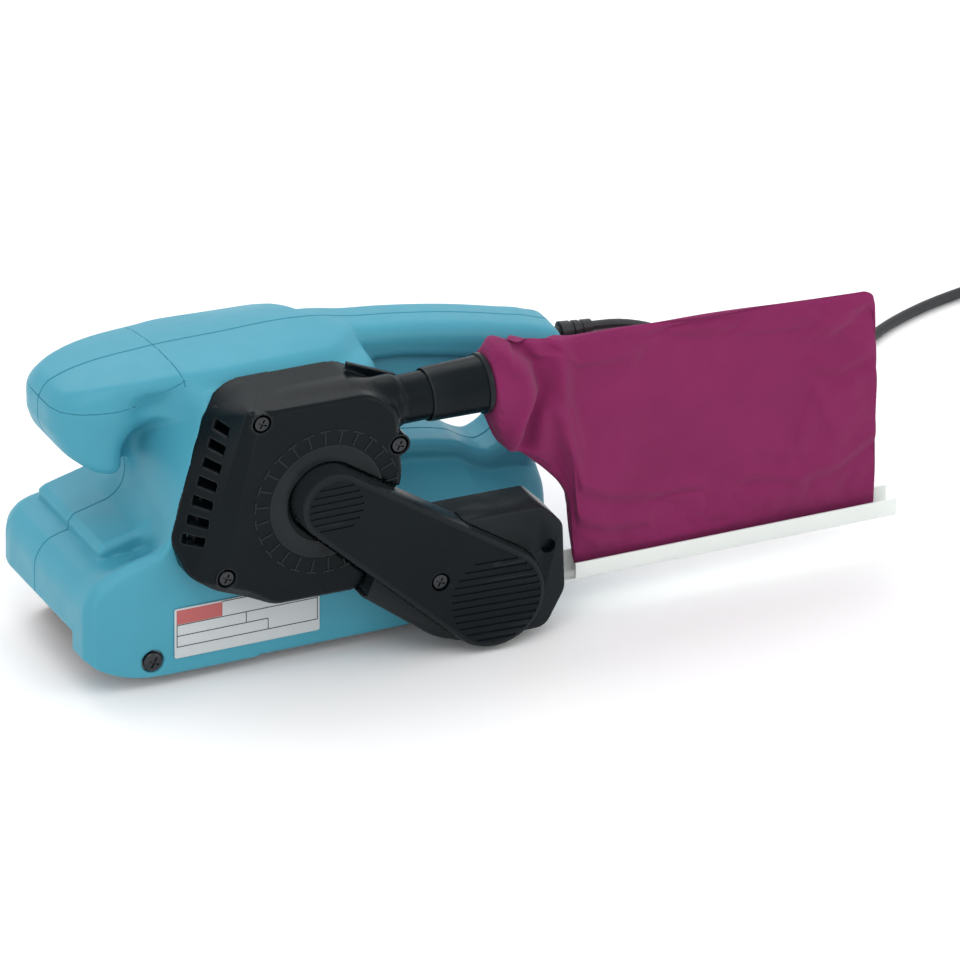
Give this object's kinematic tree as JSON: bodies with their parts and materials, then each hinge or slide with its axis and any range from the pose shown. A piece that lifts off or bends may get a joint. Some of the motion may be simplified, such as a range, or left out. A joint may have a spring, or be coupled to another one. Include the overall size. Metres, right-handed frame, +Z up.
{
  "type": "handheld belt sander",
  "caption": "Compact handheld belt sander with clamshell housing, side fan cover, belt drive cover, closed rear handle, cloth dust bag on a side spout and coiled mains lead.",
  "frame": {"origin": "on the flat underside of the sanding belt, on the seam plane of the two housing halves, midway along the housing", "axes": "+X from the front knob to the rear handle, +Y from the drive side to the open side where the belt comes off, +Z up"},
  "size_m": [0.732, 0.3283, 0.1445],
  "materials": {
    "teal_housing": "fine moulded texture",
    "black_cover": "moulded, satin",
    "black_small": "moulded, satin",
    "fan_nylon": "moulded nylon",
    "screw_steel": "plated",
    "bright_steel": "machined",
    "laminated_steel": "varnished laminations",
    "cast_frame": "as cast",
    "copper": "enamelled wire",
    "brass": "drawn",
    "carbon": "pressed carbon",
    "roller_rubber": "ground rubber",
    "cord_rubber": "satin sheath",
    "cork": "pressed cork",
    "abrasive": "aluminium oxide grit on cloth",
    "bag_cloth": "woven twill",
    "clip_plastic": "extruded, milky",
    "label": "printed film"
  },
  "bodies": {
    "housing": {"housing_left": "teal_housing", "housing_right": "teal_housing", "housing_screw_1": "screw_steel", "housing_screw_2": "screw_steel", "housing_screw_3": "screw_steel", "housing_screw_4": "screw_steel", "name_plate": "label", "fan_cover": "black_cover", "fan_cover_screw_1": "screw_steel", "fan_cover_screw_2": "screw_steel", "fan_cover_screw_3": "screw_steel", "belt_guard_base": "black_cover", "belt_cover": "black_cover", "belt_cover_screw": "screw_steel", "base_frame": "cast_frame", "shaft_bearing": "bright_steel", "platen_plate": "bright_steel", "platen_cork": "cork", "tension_spring": "bright_steel", "sanding_belt": "abrasive", "timing_belt": "roller_rubber", "field_core": "laminated_steel", "field_windings": "copper", "motor_bearing_fan_end": "bright_steel", "motor_bearing_brush_end": "bright_steel", "brush_holder_upper": "brass", "brush_holder_lower": "brass", "carbon_brush_upper": "carbon", "carbon_brush_lower": "carbon", "switch_body": "black_small", "speed_controller": "black_small", "cord_clamp": "black_small", "cord_guard": "cord_rubber", "cord_run": "cord_rubber", "cord_coil": "cord_rubber", "cord_tail": "cord_rubber", "plug": "cord_rubber"},
    "armature": {"armature_shaft": "bright_steel", "armature_core": "laminated_steel", "commutator": "copper", "cooling_fan": "fan_nylon", "motor_pulley": "bright_steel"},
    "drive_roller": {"drive_roller": "roller_rubber", "drive_shaft": "bright_steel", "roller_pulley": "black_small", "pulley_nut": "bright_steel"},
    "idler_carriage": {"idler_carriage": "bright_steel", "steer_pin": "bright_steel"},
    "idler_yoke": {"idler_yoke": "bright_steel", "idler_axle": "bright_steel"},
    "idler_roller": {"idler_roller": "cast_frame"},
    "belt_lever": {"belt_lever": "bright_steel"},
    "tracking_screw": {"tracking_screw": "screw_steel"},
    "trigger": {"trigger": "teal_housing"},
    "lock_button": {"lock_button": "black_small"},
    "speed_dial": {"speed_dial": "black_small"},
    "bag_nozzle": {"bag_nozzle": "black_cover"},
    "dust_bag": {"dust_bag": "bag_cloth"},
    "bag_clip": {"bag_clip": "clip_plastic"}
  },
  "joints": [
    {"name": "armature_spin", "type": "hinge", "parent": "housing", "child": "armature", "pos_m": [-0.018, 0, 0.091], "axis": [0, 1, 0], "continuous": true},
    {"name": "drive_roller_spin", "type": "hinge", "parent": "housing", "child": "drive_roller", "pos_m": [0.062, 0, 0.0251], "axis": [0, 1, 0], "continuous": true},
    {"name": "idler_slide", "type": "slide", "parent": "housing", "child": "idler_carriage", "axis": [1, 0, 0], "range_m": [0, 0.008], "deforming": ["tension_spring"]},
    {"name": "idler_steer", "type": "hinge", "parent": "idler_carriage", "child": "idler_yoke", "pos_m": [-0.074, 0, 0.02], "axis": [0, 0, 1], "range_deg": [-0.6, 0.6]},
    {"name": "idler_roller_spin", "type": "hinge", "parent": "idler_yoke", "child": "idler_roller", "pos_m": [-0.09754, 0, 0.0204], "axis": [0, 1, 0], "continuous": true},
    {"name": "belt_lever_swing", "type": "hinge", "parent": "housing", "child": "belt_lever", "pos_m": [-0.044, 0.041, 0.0225], "axis": [0, 0, 1], "range_deg": [0, 75]},
    {"name": "tracking_screw_turn", "type": "hinge", "parent": "housing", "child": "tracking_screw", "pos_m": [-0.09754, -0.05, 0.014], "axis": [0, 1, 0], "range_deg": [-360, 360]},
    {"name": "trigger_pull", "type": "hinge", "parent": "housing", "child": "trigger", "pos_m": [0.033, 0, 0.119], "axis": [0, -1, 0], "range_deg": [0, 4], "stiffness_Nm_per_rad": 0.5, "springref_deg": -11.46},
    {"name": "lock_button_press", "type": "slide", "parent": "housing", "child": "lock_button", "axis": [0, -1, 0], "range_m": [0, 0.002], "stiffness_N_per_m": 200, "springref_m": -0.003},
    {"name": "speed_dial_turn", "type": "hinge", "parent": "housing", "child": "speed_dial", "pos_m": [0.1025, 0.0115, 0.1132], "axis": [0, 0, 1], "range_deg": [0, 270]},
    {"name": "bag_nozzle_pull", "type": "slide", "parent": "housing", "child": "bag_nozzle", "axis": [1, 0, 0], "range_m": [0, 0.03]},
    {"name": "bag_swivel", "type": "hinge", "parent": "bag_nozzle", "child": "dust_bag", "pos_m": [0.068, -0.062, 0.125], "axis": [-1, 0, 0], "range_deg": [0, 80]},
    {"name": "bag_clip_slide", "type": "slide", "parent": "dust_bag", "child": "bag_clip", "axis": [1, 0, 0], "range_m": [0, 0.06]}
  ],
  "couplings": [
    {"joint": "drive_roller_spin", "follows": "armature_spin", "ratio": 0.25556},
    {"joint": "idler_roller_spin", "follows": "armature_spin", "ratio": 0.32281},
    {"joint": "belt_lever_swing", "follows": "idler_slide", "rad_per_m": 163.6},
    {"joint": "tracking_screw_turn", "follows": "idler_steer", "ratio": 599}
  ]
}
